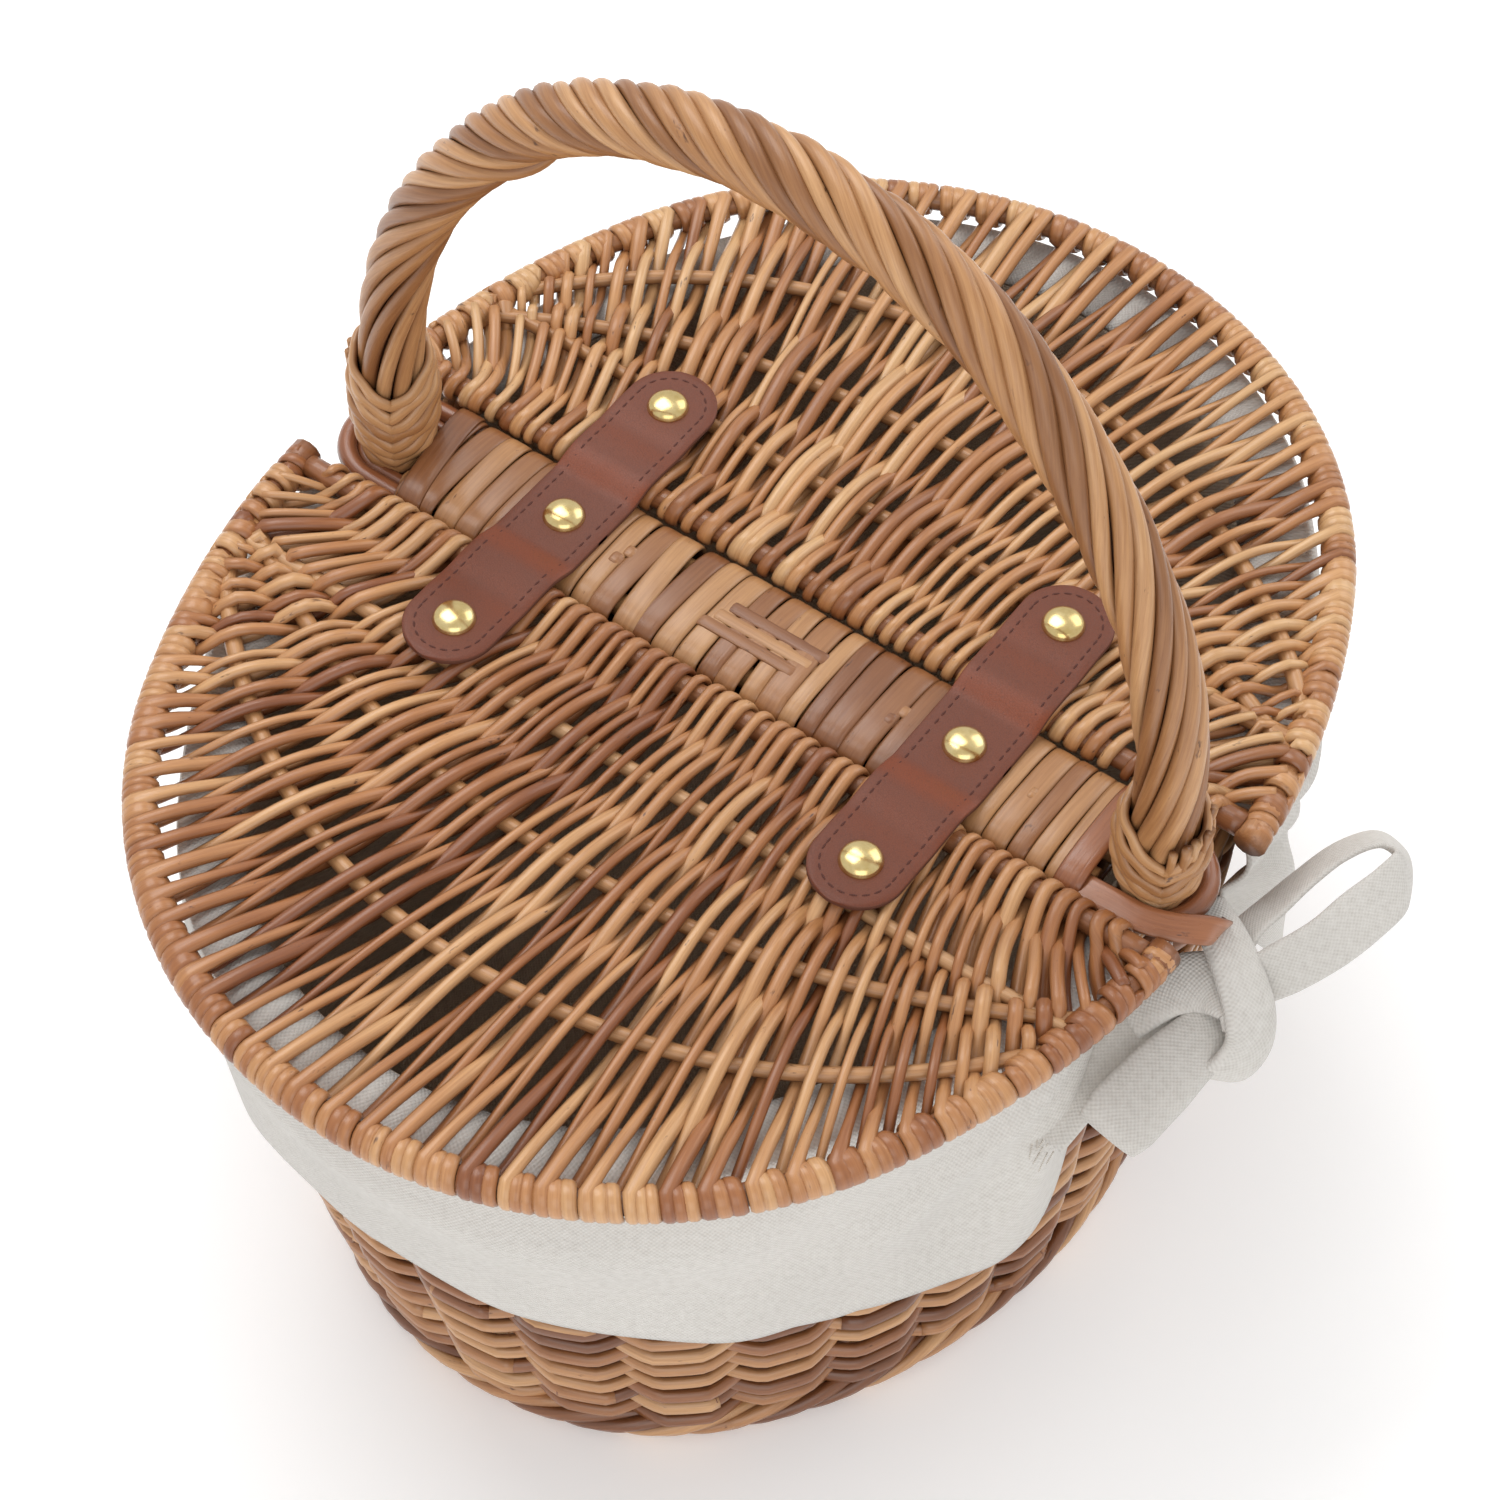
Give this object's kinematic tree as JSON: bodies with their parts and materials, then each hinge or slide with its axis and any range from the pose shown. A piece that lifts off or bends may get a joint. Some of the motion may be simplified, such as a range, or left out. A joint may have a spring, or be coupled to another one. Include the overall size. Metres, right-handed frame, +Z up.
{
  "type": "wicker picnic basket",
  "caption": "Oval woven willow picnic basket with a fixed roped hoop handle, a skein-wrapped crossbar, two D-shaped lids on leather strap hinges and a turned-down canvas lining.",
  "frame": {"origin": "under the middle of the base, on the surface the basket stands on", "axes": "+Z up; X runs along the crossbar and the handle's span; -Y is the front lid's side and +Y the back lid's side"},
  "size_m": [0.3402, 0.39, 0.3909],
  "materials": {
    "willow_body": "satin",
    "willow_stick": "satin",
    "willow_handle": "gloss",
    "willow_skein": "satin",
    "willow_lid": "gloss",
    "willow_rod": "gloss",
    "leather": "satin",
    "brass": "polished",
    "canvas": "matte"
  },
  "bodies": {
    "basket": {"side_stakes": "willow_stick", "side_weave": "willow_body", "foot_border": "willow_body", "rim_border": "willow_body", "base_sticks": "willow_stick", "base_weave": "willow_body", "handle_bow": "willow_handle", "handle_roping": "willow_handle", "handle_collar_left": "willow_handle", "handle_collar_right": "willow_handle", "crossbar_sticks": "willow_skein", "crossbar_wrap": "willow_skein", "crossbar_listing": "willow_skein", "crossbar_end_left": "willow_skein", "crossbar_lashing_left": "willow_skein", "crossbar_end_right": "willow_skein", "crossbar_lashing_right": "willow_skein", "hinge_strap_left_centre": "leather", "popper_left_centre": "brass", "hinge_strap_right_centre": "leather", "popper_right_centre": "brass", "lining_bag": "canvas", "lining_skirt_front": "canvas", "lining_skirt_back": "canvas", "tie_bow_left": "canvas", "tie_bow_right": "canvas"},
    "front_lid": {"front_lid_frame": "willow_rod", "front_lid_chord": "willow_rod", "front_lid_weave": "willow_lid", "front_lid_rib_inner": "willow_rod", "front_lid_rib_middle": "willow_rod", "front_lid_rib_outer": "willow_rod", "front_strap_left": "leather", "front_popper_left": "brass", "front_strap_right": "leather", "front_popper_right": "brass"},
    "back_lid": {"back_lid_frame": "willow_rod", "back_lid_chord": "willow_rod", "back_lid_weave": "willow_lid", "back_lid_rib_inner": "willow_rod", "back_lid_rib_middle": "willow_rod", "back_lid_rib_outer": "willow_rod", "back_strap_left": "leather", "back_popper_left": "brass", "back_strap_right": "leather", "back_popper_right": "brass"}
  },
  "joints": [
    {"name": "front_lid_hinge", "type": "hinge", "parent": "basket", "child": "front_lid", "pos_m": [0, -0.0215, 0.2047], "axis": [-1, 0, 0], "range_deg": [0, 92]},
    {"name": "back_lid_hinge", "type": "hinge", "parent": "basket", "child": "back_lid", "pos_m": [0, 0.0215, 0.2047], "axis": [1, 0, 0], "range_deg": [0, 92]}
  ]
}
